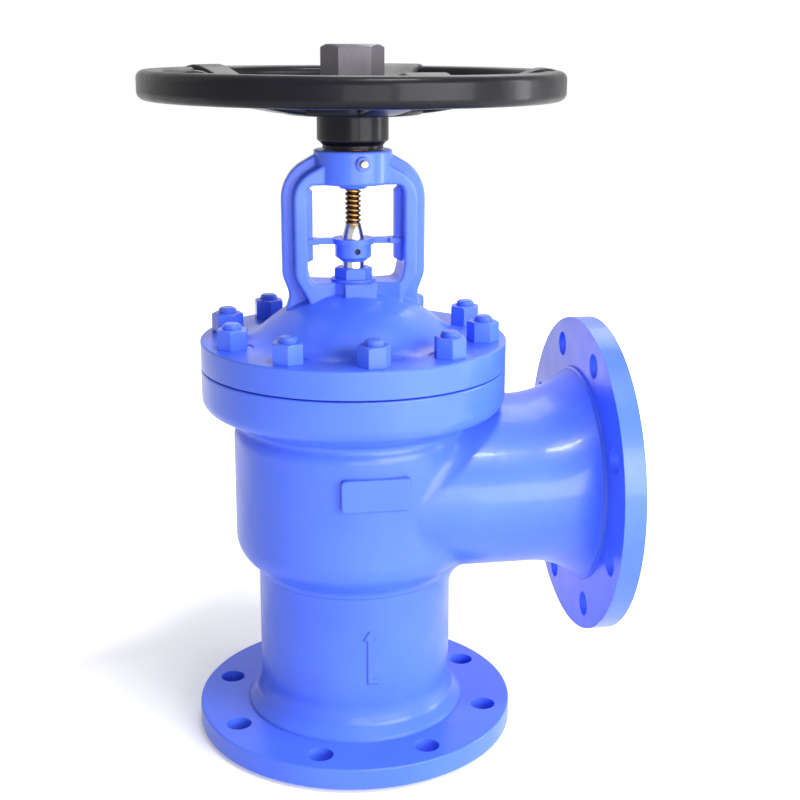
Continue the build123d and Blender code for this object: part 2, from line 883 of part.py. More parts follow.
# Stuffing box
finish("stem_guide_bush", tube(packing_r - fit_gap, stem_r + run_gap, bush_z, bush_h))
finish("packing_base_ring", tube(packing_r - fit_gap, stem_r + run_gap, base_ring_z, base_ring_h))
with BuildPart() as packing_rings:
    for ring in range(packing_count):
        add(tube(packing_r - fit_gap, stem_r + run_gap, packing_z + ring * packing_h, packing_h - packing_gap))
finish("packing_rings", packing_rings.part)
finish("gland_follower", tube(packing_r - fit_gap, stem_r + seat_gap, follower_z, follower_h))

with BuildPart() as gland_nut:
    with Locations((0, 0, gland_hex_z)):
        add(hexagon_nut(gland_flats, gland_hex_h, 0, gland_chamfer))
    with BuildSketch(Plane.XY.offset(box_top_z)):
        Circle(gland_collar_r)
    extrude(amount=gland_collar_t)
    with BuildSketch(Plane.XY.offset(gland_plug_z)):
        Circle(packing_r - fit_gap)
    extrude(amount=gland_plug_h)
    with BuildSketch(Plane.XY.offset(gland_plug_z)):
        Circle(stem_r + seat_gap)
    extrude(amount=gland_hex_z + gland_hex_h - gland_plug_z, mode=Mode.SUBTRACT)
finish("gland_nut", gland_nut.part)

# Travel indicator: a clamped hub, and a plate whose forks ride on the yoke's rails
fork_in_x = rail_x - seat_gap
fork_out_x = window_half_w - 2 * seat_gap
fork_slot_half_w = rail_half_t + seat_gap
fork_half_w = fork_slot_half_w + fork_cheek
with BuildPart() as travel_indicator:
    add(turned([
        (0, indicator_foot_z, 0),
        (stem_r + indicator_foot_w, indicator_foot_z, 0),
        (indicator_hub_r, indicator_hub_z, 0),
        (indicator_hub_r, indicator_plate_z, 0),
        (indicator_plate_r, indicator_plate_z, 0),
        (indicator_plate_r, indicator_top_z, 0),
        (0, indicator_top_z, 0),
    ]))
    with BuildSketch(Plane.XY.offset(indicator_plate_z)):
        Rectangle(2 * fork_in_x, indicator_arm_w)
        for side in (-1, 1):
            with Locations((side * (fork_out_x - fork_depth / 2), 0)):
                Rectangle(fork_depth, 2 * fork_half_w)
            with Locations((side * (fork_in_x + fork_depth / 2), 0)):
                Rectangle(fork_depth, 2 * fork_slot_half_w, mode=Mode.SUBTRACT)
    extrude(amount=indicator_plate_t)
    with BuildSketch(Plane.XY.offset(indicator_foot_z)):
        Circle(stem_r + fit_gap)
    extrude(amount=indicator_top_z - indicator_foot_z, mode=Mode.SUBTRACT)
    with BuildSketch(radial(set_screw_angle, stem_r, set_screw_z)):
        Circle(set_screw_r + fit_gap)
    extrude(amount=indicator_hub_r, mode=Mode.SUBTRACT)
finish("travel_indicator", travel_indicator.part)

with BuildPart() as indicator_set_screw:
    with BuildSketch(radial(set_screw_angle, stem_r + seat_gap, set_screw_z)):
        Circle(set_screw_r)
    extrude(amount=indicator_hub_r - stem_r - seat_gap - set_screw_inset)
finish("indicator_set_screw", indicator_set_screw.part)

# Stem nut: a threaded sleeve with a collar between two thrust bearings
with BuildPart() as stem_nut:
    add(turned([
        (stem_thread_r + run_gap, sleeve_bottom_z, 0),
        (sleeve_r, sleeve_bottom_z, 0),
        (sleeve_r, collar_z, 0),
        (collar_r, collar_z, 0),
        (collar_r, upper_bearing_z, 0),
        (sleeve_r, upper_bearing_z, 0),
        (sleeve_r, sleeve_top_z, sleeve_end_round),
        (stem_thread_r + run_gap, sleeve_top_z, 0),
    ]))
    with BuildSketch(Plane.XY.offset(key_z)):
        with Locations((sleeve_r, 0)):
            Rectangle(key_h + 2 * fit_gap, key_w + 2 * fit_gap)
    extrude(amount=key_len, mode=Mode.SUBTRACT)
finish("stem_nut", stem_nut.part)

race_in_r = sleeve_r + run_gap
race_out_r = cavity_r - fit_gap


def thrust_bearing(z):
    """Make a thrust bearing of two races and a caged roller ring, standing on a height."""
    with BuildPart() as bearing:
        add(tube(race_out_r, race_in_r, z, race_t))
        roller_h = roller_t - 2 * roller_gap
        add(tube(race_out_r - roller_in, race_in_r + roller_in, z + race_t + roller_gap, roller_h))
        add(tube(race_out_r, race_in_r, z + race_t + roller_t, race_t))
    return bearing.part


finish("lower_thrust_bearing", thrust_bearing(cavity_z))
finish("upper_thrust_bearing", thrust_bearing(upper_bearing_z))

with BuildPart() as bearing_retainer:
    add(tube(cavity_r - fit_gap, sleeve_r + seat_gap, retainer_z, retainer_t))
    with BuildSketch(Plane.XY.offset(retainer_z)):
        with Locations((0, cavity_r)):
            Circle(lock_screw_r + fit_gap)
    extrude(amount=retainer_t, mode=Mode.SUBTRACT)
finish("bearing_retainer", bearing_retainer.part)

with BuildPart() as retainer_lock_screw:
    with BuildSketch(Plane.XY.offset(retainer_z)):
        with Locations((0, cavity_r)):
            Circle(lock_screw_r)
    extrude(amount=retainer_t)
finish("retainer_lock_screw", retainer_lock_screw.part)

with BuildPart() as grease_nipple:
    with BuildSketch(radial(nipple_angle, cavity_r + nipple_boss_h, nipple_z)):
        Circle(nipple_shank_r)
    extrude(amount=head_wall)
    with BuildSketch(radial(nipple_angle, nipple_face_r, nipple_z)):
        Circle(nipple_r)
    extrude(amount=nipple_head_h)
    tip = grease_nipple.faces().sort_by_distance((0, 0, nipple_z))[-1]
    fillet(tip.edges(), nipple_round)
finish("grease_nipple", grease_nipple.part)

# Handwheel: its dished spokes rise along a spline and dive into the rim's crown
spoke_start_r = sleeve_r + spoke_root
spoke_reach = wheel_r - rim_round - spoke_start_r
spoke_low_z = plate_z + plate_t / 2
spoke_high_z = rim_mid_z + rim_h / 2 + spoke_stand - spoke_t / 2
spoke_rise = spoke_high_z - spoke_low_z
spoke_points = [
    (spoke_start_r + share * spoke_reach, spoke_low_z + climb * spoke_rise)
    for share, climb in zip(spoke_shares, spoke_climb)
]
with BuildPart() as spoke:
    with BuildLine(Plane.XZ) as spine:
        Spline(*spoke_points)
    with BuildSketch(Plane.YZ.offset(spoke_start_r)) as inner_end:
        with Locations((0, spoke_low_z)):
            RectangleRounded(spoke_w, spoke_t, spoke_round)
    with BuildSketch(Plane(spine.line @ 1, z_dir=spine.line % 1, x_dir=(0, 1, 0))) as outer_end:
        RectangleRounded(spoke_w + spoke_flare, spoke_t, spoke_round)
    sweep(sections=[inner_end.sketch, outer_end.sketch], path=spine.line, multisection=True)

with BuildPart() as handwheel:
    with BuildSketch(Plane.XZ):
        with Locations((rim_mid_r, rim_mid_z)):
            RectangleRounded(rim_w, rim_h, rim_round)
    revolve(axis=Axis.Z)
    with PolarLocations(0, spoke_count, start_angle=spoke_start_deg):
        add(spoke.part)
    add(turned([
        (0, hub_bottom_z, 0),
        (hub_foot_r, hub_bottom_z, 0),
        (hub_foot_r, hub_bottom_z + hub_foot_h, 0),
        (hub_r, hub_bottom_z + hub_foot_h + hub_foot_cone_h, edge_round),
        (hub_r, plate_z, hub_round),
        (plate_r, plate_z, plate_edge_round),
        (plate_r, plate_top_z, plate_edge_round),
        (hub_neck_r, plate_top_z + plate_cone_h, hub_neck_round),
        (hub_neck_r, hub_top_z, edge_round),
        (0, hub_top_z, 0),
    ]))
    with BuildSketch(Plane.XY.offset(hub_bottom_z)):
        Circle(sleeve_r + fit_gap)
    extrude(amount=hub_top_z - hub_bottom_z, mode=Mode.SUBTRACT)
    with BuildSketch(Plane.XY.offset(hub_bottom_z)):
        with Locations((sleeve_r, 0)):
            Rectangle(key_h + 2 * fit_gap, key_w + 2 * fit_gap)
    extrude(amount=key_z + key_len - hub_bottom_z, mode=Mode.SUBTRACT)
finish("handwheel", handwheel.part)

with BuildPart() as handwheel_key:
    with BuildSketch(Plane.XY.offset(key_z)):
        with Locations((sleeve_r, 0)):
            Rectangle(key_h, key_w)
    extrude(amount=key_len)
finish("handwheel_key", handwheel_key.part)

finish("handwheel_washer", tube(washer_r, sleeve_r + fit_gap, washer_z, washer_t))

with BuildPart() as handwheel_nut:
    with Locations(Location((0, 0, wheel_nut_z), (0, 0, wheel_nut_turn))):
        add(hexagon_nut(wheel_nut_flats, wheel_nut_h, 0, wheel_nut_chamfer))
    with BuildSketch(Plane.XY.offset(wheel_nut_z)):
        Circle(sleeve_r + fit_gap)
    extrude(amount=wheel_nut_h - wheel_nut_cap, mode=Mode.SUBTRACT)
finish("handwheel_nut", handwheel_nut.part)
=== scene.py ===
import math

import bpy
import numpy as np
from bpy.props import FloatProperty, FloatVectorProperty, IntProperty, PointerProperty
from mathutils import Matrix, Vector


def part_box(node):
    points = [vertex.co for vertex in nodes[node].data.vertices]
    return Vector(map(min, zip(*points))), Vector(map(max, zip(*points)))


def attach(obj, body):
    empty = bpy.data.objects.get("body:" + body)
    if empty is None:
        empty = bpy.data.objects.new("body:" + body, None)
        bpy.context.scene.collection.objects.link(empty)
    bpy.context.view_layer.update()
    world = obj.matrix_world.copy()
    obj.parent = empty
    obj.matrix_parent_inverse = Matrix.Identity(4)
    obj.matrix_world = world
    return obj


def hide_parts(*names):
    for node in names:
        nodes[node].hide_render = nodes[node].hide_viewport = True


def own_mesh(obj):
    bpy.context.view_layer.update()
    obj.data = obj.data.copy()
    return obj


bl_info = {
    "name": "Bellows seal angle valve",
    "version": (1, 0, 0),
    "blender": (4, 5, 0),
    "location": "3D View > Sidebar > Valve",
    "description": "Gives the packed valve its threads, bellows, marks, paint and studio",
    "category": "Object",
}

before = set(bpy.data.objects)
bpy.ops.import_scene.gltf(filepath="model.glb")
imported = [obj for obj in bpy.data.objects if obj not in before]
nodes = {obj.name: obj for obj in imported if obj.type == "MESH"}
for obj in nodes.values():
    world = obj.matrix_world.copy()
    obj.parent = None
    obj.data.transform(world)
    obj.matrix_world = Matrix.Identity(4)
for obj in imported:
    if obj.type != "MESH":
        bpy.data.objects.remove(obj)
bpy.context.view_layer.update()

MM = 0.001                     # lengths are in millimetres, but in the studio in metres
TINY = 0.001                   # points nearer than this are one point
BEVEL_SAMPLES = 4
TOOL_SIDES = 48
FACING = 0.9                   # a face whose normal has this share along an axis faces that way
CUT_OVER = 0.5                 # how far a tool goes past what it cuts
THREAD_DEPTH_SHARE = 0.4       # of the pitch, for the stem's and the studs' threads
NUT_CONE = math.tan(math.radians(30))
NUT_FACE_SHARE = 0.96          # of the flats' width, for the round face on top
SOFT_EDGE_ANGLE = math.radians(28)
STUD_COUNT = 10
NUT_TURNS = (14, -22, 9, 33, -8, 21, -35, 4, 27, -15)      # in degrees, as a spanner left them
BRANCH_Z = 225.0               # height of the outlet's axis over the inlet face
OUTLET_X = 225.0               # distance of the outlet's face from the stem axis
NECK_R = 86.0                  # outside of the inlet neck
CAST_PAINT = "gloss_enamel_on_sand_cast_steel"
TURNED_PAINT = "gloss_enamel_on_turned_steel"


def linear(hex_colour):
    """Turn an sRGB hex colour into linear RGBA."""
    channels = [int(hex_colour[i:i + 2], 16) / 255 for i in (1, 3, 5)]
    return (*(c / 12.92 if c <= 0.04045 else ((c + 0.055) / 1.055) ** 2.4 for c in channels), 1.0)


def per_mm(size):
    """Texture scale that gives one feature in so many millimetres, on Object coordinates."""
    return 1 / (size * MM)


class StudioSettings(bpy.types.PropertyGroup):
    key_power: FloatProperty(
        name="Key lamp", description="Power of the large lamp at the front right",
        default=50.0, min=0, unit="POWER")
    fill_power: FloatProperty(
        name="Fill lamp", description="Power of the small lamp at the front",
        default=9.0, min=0, unit="POWER")
    top_power: FloatProperty(
        name="Top lamp", description="Power of the lamp over the valve",
        default=20.0, min=0, unit="POWER")
    rim_power: FloatProperty(
        name="Rim lamp", description="Power of the lamp on the right side",
        default=20.0, min=0, unit="POWER")
    back_power: FloatProperty(
        name="Back lamp", description="Power of the lamp behind the valve",
        default=14.0, min=0, unit="POWER")
    sky: FloatProperty(
        name="Room light", description="Even light that reaches the valve from all round",
        default=0.24, min=0, max=1)
    floor_colour: FloatVectorProperty(
        name="Floor", description="Colour of the pale floor",
        size=4, subtype="COLOR", default=linear("#F4F4F4"), min=0, max=1)


class PaintSettings(bpy.types.PropertyGroup):
    blue: FloatVectorProperty(
        name="Body enamel", description="Colour of the enamel on the castings",
        size=4, subtype="COLOR", default=linear("#4F74F5"), min=0, max=1)
    deep_blue: FloatVectorProperty(
        name="Thick enamel", description="Colour where the enamel lies thicker",
        size=4, subtype="COLOR", default=linear("#476CF0"), min=0, max=1)
    black: FloatVectorProperty(
        name="Wheel enamel", description="Colour of the enamel on the handwheel",
        size=4, subtype="COLOR", default=linear("#0D0E16"), min=0, max=1)
    peel: FloatProperty(
        name="Orange peel", description="Width of one dimple in the sprayed enamel",
        default=2.2 * MM, unit="LENGTH", subtype="DISTANCE")
    wave: FloatProperty(
        name="Casting wave", description="Width of one slow wave left by the sand mould",
        default=26 * MM, unit="LENGTH", subtype="DISTANCE")


class StemSettings(bpy.types.PropertyGroup):
    pitch: FloatProperty(
        name="Thread pitch", description="Rise of the stem thread in one turn",
        default=4 * MM, unit="LENGTH", subtype="DISTANCE")
    sides: IntProperty(
        name="Facets", description="Facets round the stem",
        default=48, min=12)


class NutSettings(bpy.types.PropertyGroup):
    flats: FloatProperty(
        name="Cover nut", description="Width across flats of a cover nut",
        default=24 * MM, unit="LENGTH", subtype="DISTANCE")
    soft_edge: FloatProperty(
        name="Paint edge", description="Rounding that the paint leaves on a nut's edges",
        default=0.7 * MM, unit="LENGTH", subtype="DISTANCE")
    stud_pitch: FloatProperty(
        name="Stud pitch", description="Pitch of the stud's thread",
        default=2 * MM, unit="LENGTH", subtype="DISTANCE")


class BellowsSettings(bpy.types.PropertyGroup):
    turns: IntProperty(
        name="Convolutions", description="Number of convolutions in the bellows",
        default=12, min=4)
    wall: FloatProperty(
        name="Wall", description="Thickness of the bellows wall",
        default=0.6 * MM, unit="LENGTH", subtype="DISTANCE")


class ArrowSettings(bpy.types.PropertyGroup):
    length: FloatProperty(
        name="Length", description="Length of the raised flow arrow",
        default=50 * MM, unit="LENGTH", subtype="DISTANCE")
    centre_z: FloatProperty(
        name="Height", description="Height of the arrow's middle on the inlet neck",
        default=96 * MM, unit="LENGTH", subtype="DISTANCE")
    proud: FloatProperty(
        name="Relief", description="How far the arrow stands out of the casting",
        default=1.5 * MM, unit="LENGTH", subtype="DISTANCE")


class ShoulderSettings(bpy.types.PropertyGroup):
    radius: FloatProperty(
        name="Hollow", description="Radius of the hollow under the chamber's shoulder",
        default=12 * MM, unit="LENGTH", subtype="DISTANCE")


def add_node(tree, kind, inputs=None, **settings):
    """Add a node, set its properties, and set or link its inputs."""
    node = tree.nodes.new(kind)
    for name, value in settings.items():
        setattr(node, name, value)
    for socket, value in (inputs or {}).items():
        if isinstance(value, bpy.types.NodeSocket):
            tree.links.new(value, node.inputs[socket])
        else:
            node.inputs[socket].default_value = value
    return node


def new_material(name, **sockets):
    """Make a material with these constant values, and return it with what its pattern needs."""
    material = bpy.data.materials.new(name)
    material.use_nodes = True
    tree = material.node_tree
    shader = tree.nodes["Principled BSDF"]
    for socket, value in sockets.items():
        shader.inputs[socket.replace("_", " ")].default_value = value
    place = add_node(tree, "ShaderNodeTexCoord").outputs["Object"]
    return material, tree, shader, place


def white_rays(tree):
    """Give 1 to the camera's, glossy and transmission rays, which see the plain white room."""
    path = add_node(tree, "ShaderNodeLightPath").outputs
    direct = add_node(tree, "ShaderNodeMath",
                      {0: path["Is Camera Ray"], 1: path["Is Glossy Ray"]}, operation="MAXIMUM")
    seen = add_node(tree, "ShaderNodeMath",
                    {0: direct.outputs[0], 1: path["Is Transmission Ray"]}, operation="MAXIMUM")
    return seen.outputs[0]


def enamel(name, colour, thick, paint, wave_depth, peel_depth, roughness, coat, edge):
    """Gloss enamel sprayed over metal: slow waves of the mould under fine orange peel."""
    material, tree, shader, place = new_material(
        name, Roughness=roughness, IOR=1.38, Coat_Weight=coat, Coat_Roughness=0.10, Coat_IOR=1.5)
    patches = add_node(tree, "ShaderNodeTexNoise",
                       {"Vector": place, "Scale": per_mm(70), "Detail": 3.0})
    waves = add_node(tree, "ShaderNodeTexNoise",
                     {"Vector": place, "Scale": 1 / paint.wave, "Detail": 2.0})
    peel = add_node(tree, "ShaderNodeTexNoise",
                    {"Vector": place, "Scale": 1 / paint.peel, "Detail": 2.0, "Roughness": 0.55})
    share = add_node(tree, "ShaderNodeMapRange",
                     {"Value": patches.outputs["Fac"], "From Min": 0.3, "From Max": 0.7})
    mixed = add_node(tree, "ShaderNodeMix", {0: share.outputs["Result"], 6: colour, 7: thick},
                     data_type="RGBA")
    satin = add_node(tree, "ShaderNodeMapRange",
                     {"Value": waves.outputs["Fac"], "From Min": 0.3, "From Max": 0.7,
                      "To Min": roughness - 0.04, "To Max": roughness + 0.05})
    rounded = add_node(tree, "ShaderNodeBevel", {"Radius": edge}, samples=BEVEL_SAMPLES)
    cast = add_node(tree, "ShaderNodeBump",
                    {"Height": waves.outputs["Fac"], "Distance": wave_depth,
                     "Normal": rounded.outputs["Normal"]})
    sprayed = add_node(tree, "ShaderNodeBump",
                       {"Height": peel.outputs["Fac"], "Distance": peel_depth,
                        "Normal": cast.outputs["Normal"]})
    tree.links.new(mixed.outputs[2], shader.inputs["Base Color"])
    tree.links.new(satin.outputs["Result"], shader.inputs["Roughness"])
    tree.links.new(sprayed.outputs["Normal"], shader.inputs["Normal"])
    return material


def turned_metal(name, colour, worn, roughness, groove, groove_depth, axis="Z", centre=(0, 0, 0)):
    """Metal from the lathe: rings of fine tool marks about an axis, with faint smears."""
    material, tree, shader, place = new_material(name, Roughness=roughness, Metallic=1.0)
    smears = add_node(tree, "ShaderNodeTexNoise",
                      {"Vector": place, "Scale": per_mm(9), "Detail": 3.0, "Roughness": 0.6})
    mixed = add_node(tree, "ShaderNodeMix", {0: smears.outputs["Fac"], 6: colour, 7: worn},
                     data_type="RGBA")
    satin = add_node(tree, "ShaderNodeMapRange",
                     {"Value": smears.outputs["Fac"], "From Min": 0.3, "From Max": 0.7,
                      "To Min": roughness - 0.06, "To Max": roughness + 0.08})
    centred = add_node(tree, "ShaderNodeMapping",
                       {"Vector": place, "Location": tuple(-c for c in centre)})
    # A wave's period is a tenth of pi at a scale of 1
    rings = add_node(tree, "ShaderNodeTexWave",
                     {"Vector": centred.outputs[0], "Scale": math.pi / 10 / groove,
                      "Distortion": 0.4, "Detail": 1.0}, wave_type="RINGS", rings_direction=axis)
    feed = add_node(tree, "ShaderNodeBump",
                    {"Height": rings.outputs["Fac"], "Distance": groove_depth})
    tree.links.new(mixed.outputs[2], shader.inputs["Base Color"])
    tree.links.new(satin.outputs["Result"], shader.inputs["Roughness"])
    tree.links.new(feed.outputs["Normal"], shader.inputs["Normal"])
    return material


def plain_metal(name, colour, worn, roughness, metallic, grain, depth):
    """Metal with a satin or grainy skin, uneven in tone."""
    material, tree, shader, place = new_material(name, Roughness=roughness, Metallic=metallic)
    smears = add_node(tree, "ShaderNodeTexNoise",
                      {"Vector": place, "Scale": per_mm(7), "Detail": 3.0, "Roughness": 0.6})
    fine = add_node(tree, "ShaderNodeTexNoise",
                    {"Vector": place, "Scale": 1 / grain, "Detail": 2.0, "Roughness": 0.6})
    mixed = add_node(tree, "ShaderNodeMix", {0: smears.outputs["Fac"], 6: colour, 7: worn},
                     data_type="RGBA")
    satin = add_node(tree, "ShaderNodeMapRange",
                     {"Value": fine.outputs["Fac"], "From Min": 0.3, "From Max": 0.7,
                      "To Min": roughness - 0.07, "To Max": roughness + 0.09})
    grainy = add_node(tree, "ShaderNodeBump", {"Height": fine.outputs["Fac"], "Distance": depth})
    tree.links.new(mixed.outputs[2], shader.inputs["Base Color"])
    tree.links.new(satin.outputs["Result"], shader.inputs["Roughness"])
    tree.links.new(grainy.outputs["Normal"], shader.inputs["Normal"])
    return material


def greased_thread(name, low_r, high_r):
    """Bronzed steel thread: worn crests over roots full of dark grease."""
    material, tree, shader, place = new_material(name, Roughness=0.34, Metallic=1.0)
    flat = add_node(tree, "ShaderNodeVectorMath", {0: place, 1: (1, 1, 0)}, operation="MULTIPLY")
    radius = add_node(tree, "ShaderNodeVectorMath", {0: flat.outputs[0]}, operation="LENGTH")
    height = add_node(tree, "ShaderNodeMapRange",
                      {"Value": radius.outputs["Value"], "From Min": low_r, "From Max": high_r})
    smears = add_node(tree, "ShaderNodeTexNoise",
                      {"Vector": place, "Scale": per_mm(5), "Detail": 3.0, "Roughness": 0.6})
    crest = add_node(tree, "ShaderNodeMix",
                     {0: smears.outputs["Fac"], 6: linear("#B08A4E"), 7: linear("#7C5A32")},
                     data_type="RGBA")
    mixed = add_node(tree, "ShaderNodeMix",
                     {0: height.outputs["Result"], 6: linear("#2B1D14"), 7: crest.outputs[2]},
                     data_type="RGBA")
    wet = add_node(tree, "ShaderNodeMapRange",
                   {"Value": smears.outputs["Fac"], "From Min": 0.3, "From Max": 0.7,
                    "To Min": 0.24, "To Max": 0.46})
    tree.links.new(mixed.outputs[2], shader.inputs["Base Color"])
    tree.links.new(wet.outputs["Result"], shader.inputs["Roughness"])
    return material


def give(node, materials, chooser=None):
    """Give a CAD node its materials; the chooser picks by each face's centre and normal."""
    mesh = nodes[node].data
    mesh.materials.clear()
    for material in materials:
        mesh.materials.append(material)
    count = len(mesh.polygons)
    picked = np.zeros(count, np.int32)
    if chooser is not None:
        centres = np.empty(count * 3, np.float32)
        normals = np.empty(count * 3, np.float32)
        mesh.polygons.foreach_get("center", centres)
        mesh.polygons.foreach_get("normal", normals)
        picked = chooser(centres.reshape(-1, 3) / MM, normals.reshape(-1, 3)).astype(np.int32)
    mesh.polygons.foreach_set("material_index", picked)


def start(name, primitive, **settings):
    """Add a primitive with nothing else selected, and name it."""
    bpy.ops.object.select_all(action="DESELECT")
    primitive(**settings)
    piece = bpy.context.object
    piece.name = name
    piece.data.name = name
    return piece


def only(*pieces):
    """Select these pieces alone, the first as the active one."""
    bpy.ops.object.select_all(action="DESELECT")
    for piece in pieces:
        piece.select_set(True)
    bpy.context.view_layer.objects.active = pieces[0]


def pick(piece, test):
    """Go into edit mode with only the faces selected whose middle and normal pass a test."""
    only(piece)
    bpy.ops.object.mode_set(mode="EDIT")
    bpy.ops.mesh.select_mode(type="FACE")
    bpy.ops.mesh.select_all(action="DESELECT")
    bpy.ops.object.mode_set(mode="OBJECT")
    for face in piece.data.polygons:
        face.select = test(piece.matrix_world @ face.center / MM, face.normal)
    bpy.ops.object.mode_set(mode="EDIT")


def apply_modifier(piece, kind, **settings):
    """Add a modifier, set it and apply it."""
    only(piece)
    bpy.ops.object.modifier_add(type=kind)
    modifier = piece.modifiers[-1]
    for name, value in settings.items():
        setattr(modifier, name, value)
    bpy.ops.object.modifier_apply(modifier=modifier.name)


def draw(name, points, closed=False):
    """Draw an outline in the XZ plane by extruding one vertex from point to point."""
    piece = start(name, bpy.ops.mesh.primitive_plane_add, size=MM)
    bpy.ops.object.mode_set(mode="EDIT")
    bpy.ops.mesh.select_mode(type="VERT")
    bpy.ops.mesh.select_all(action="SELECT")
    bpy.ops.mesh.merge(type="CENTER")
    bpy.ops.transform.translate(value=(points[0][0] * MM, 0, points[0][1] * MM))
    path = list(points) + ([points[0]] if closed else [])
    for (r0, z0), (r1, z1) in zip(path, path[1:]):
        bpy.ops.mesh.extrude_region_move(
            TRANSFORM_OT_translate={"value": ((r1 - r0) * MM, 0, (z1 - z0) * MM)})
    bpy.ops.mesh.select_all(action="SELECT")
    bpy.ops.mesh.remove_doubles(threshold=TINY * MM)
    bpy.ops.object.mode_set(mode="OBJECT")
    return piece


def clean(piece, angle_deg=35):
    """Put the place into the mesh, merge doubles, turn the faces outwards and smooth by angle."""
    only(piece)
    bpy.ops.object.transform_apply(location=True, rotation=True, scale=True)
    bpy.ops.object.mode_set(mode="EDIT")
    bpy.ops.mesh.select_all(action="SELECT")
    bpy.ops.mesh.remove_doubles(threshold=2 * TINY * MM)
    bpy.ops.mesh.normals_make_consistent(inside=False)
    bpy.ops.object.mode_set(mode="OBJECT")
    bpy.ops.object.shade_smooth_by_angle(angle=math.radians(angle_deg))
    return piece


def turn_round(piece, steps, rise=0.0, turns=1):
    """Sweep an outline round the stem axis, rising by so much in a turn."""
    apply_modifier(piece, "SCREW", axis="Z", angle=math.tau, screw_offset=rise, iterations=turns,
                   steps=steps, render_steps=steps, use_merge_vertices=True,
                   merge_threshold=TINY * MM)
    return clean(piece)


def trim(piece, z, keep_above):
    """Cut a closed piece flat at a height in millimetres, and close the cut."""
    only(piece)
    bpy.ops.object.mode_set(mode="EDIT")
    bpy.ops.mesh.select_all(action="SELECT")
    bpy.ops.mesh.bisect(plane_co=(0, 0, z * MM), plane_no=(0, 0, 1), use_fill=True,
                        clear_inner=keep_above, clear_outer=not keep_above)
    bpy.ops.object.mode_set(mode="OBJECT")


def cut(piece, tool, operation):
    """Shape a piece with a tool by a boolean, and take the tool away."""
    apply_modifier(piece, "BOOLEAN", object=tool, operation=operation, solver="EXACT")
    bpy.data.objects.remove(tool)


def join(*pieces):
    """Join pieces into the first one."""
    only(*pieces)
    bpy.ops.object.join()
    return pieces[0]


def tapered_tool(radius, end_radius, low, knee, high):
    """A round tool that is straight up to a knee and then tapers or flares to its end."""
    tool = start("turning_tool", bpy.ops.mesh.primitive_cylinder_add, vertices=TOOL_SIDES,
                 radius=radius * MM, depth=(knee - low) * MM,
                 location=(0, 0, (knee + low) / 2 * MM))
    pick(tool, lambda middle, normal: normal.z > FACING)
    bpy.ops.mesh.extrude_region_move(TRANSFORM_OT_translate={"value": (0, 0, (high - knee) * MM)})
    share = end_radius / radius
    bpy.ops.transform.resize(value=(share, share, 1), center_override=(0, 0, high * MM))
    bpy.ops.object.mode_set(mode="OBJECT")
    return tool


def hexagon_nut(name, flats, height, z, soft_edge, bore, bore_top, countersink):
    """Model a hexagon nut: corners turned off by a cone, a bore and painted-over edges."""
    corner = flats / math.sqrt(3)
    nut = start(name, bpy.ops.mesh.primitive_cylinder_add, vertices=6, radius=corner * MM,
                depth=height * MM, location=(0, 0, (z + height / 2) * MM),
                rotation=(0, 0, math.pi / 6))
    low, high = z - 2 * CUT_OVER, z + height + CUT_OVER
    face_r = flats / 2 * NUT_FACE_SHARE
    outer_r = corner + CUT_OVER
    knee = z + height - (outer_r - face_r) * NUT_CONE
    cut(nut, tapered_tool(outer_r, face_r - CUT_OVER / NUT_CONE, low, knee, high), "INTERSECT")
    drill = tapered_tool(bore, bore + countersink, low, bore_top - countersink, bore_top)
    cut(nut, drill, "DIFFERENCE")
    clean(nut)
    apply_modifier(nut, "BEVEL", width=soft_edge, segments=2, limit_method="ANGLE",
                   angle_limit=SOFT_EDGE_ANGLE)
    return clean(nut, angle_deg=40)


def threaded(name, radius, pitch, low, high, sides, hand):
    """Model a thread between two heights in millimetres; hand is 1 for right and -1 for left."""
    root = radius - pitch * THREAD_DEPTH_SHARE
    eased = radius - 0.06 * pitch
    base = low - 2 * pitch if hand > 0 else high + pitch
    # The heights are shares of one pitch: root, flank, rounded crest, flank
    outline = ((root, 0), (root, 0.30), (eased, 0.44), (radius, 0.52), (radius, 0.78),
               (eased, 0.86), (root, 1))
    rod = draw(name, [(r, base + share * pitch) for r, share in outline])
    turn_round(rod, sides, hand * pitch * MM, math.ceil((high - low) / pitch) + 3)
    trim(rod, low, keep_above=True)
    trim(rod, high, keep_above=False)
    return clean(rod, angle_deg=50)


def dress(piece, body, material, slot, *replaced):
    """Give a new piece its material and body, and hide the CAD nodes that it stands for; the slot
    is not used.
    """
    if not piece.data.polygons:
        raise RuntimeError(f"{piece.name} has no faces")
    piece.data.materials.clear()
    piece.data.materials.append(material)
    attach(piece, body)
    if replaced:
        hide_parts(*replaced)
    return piece


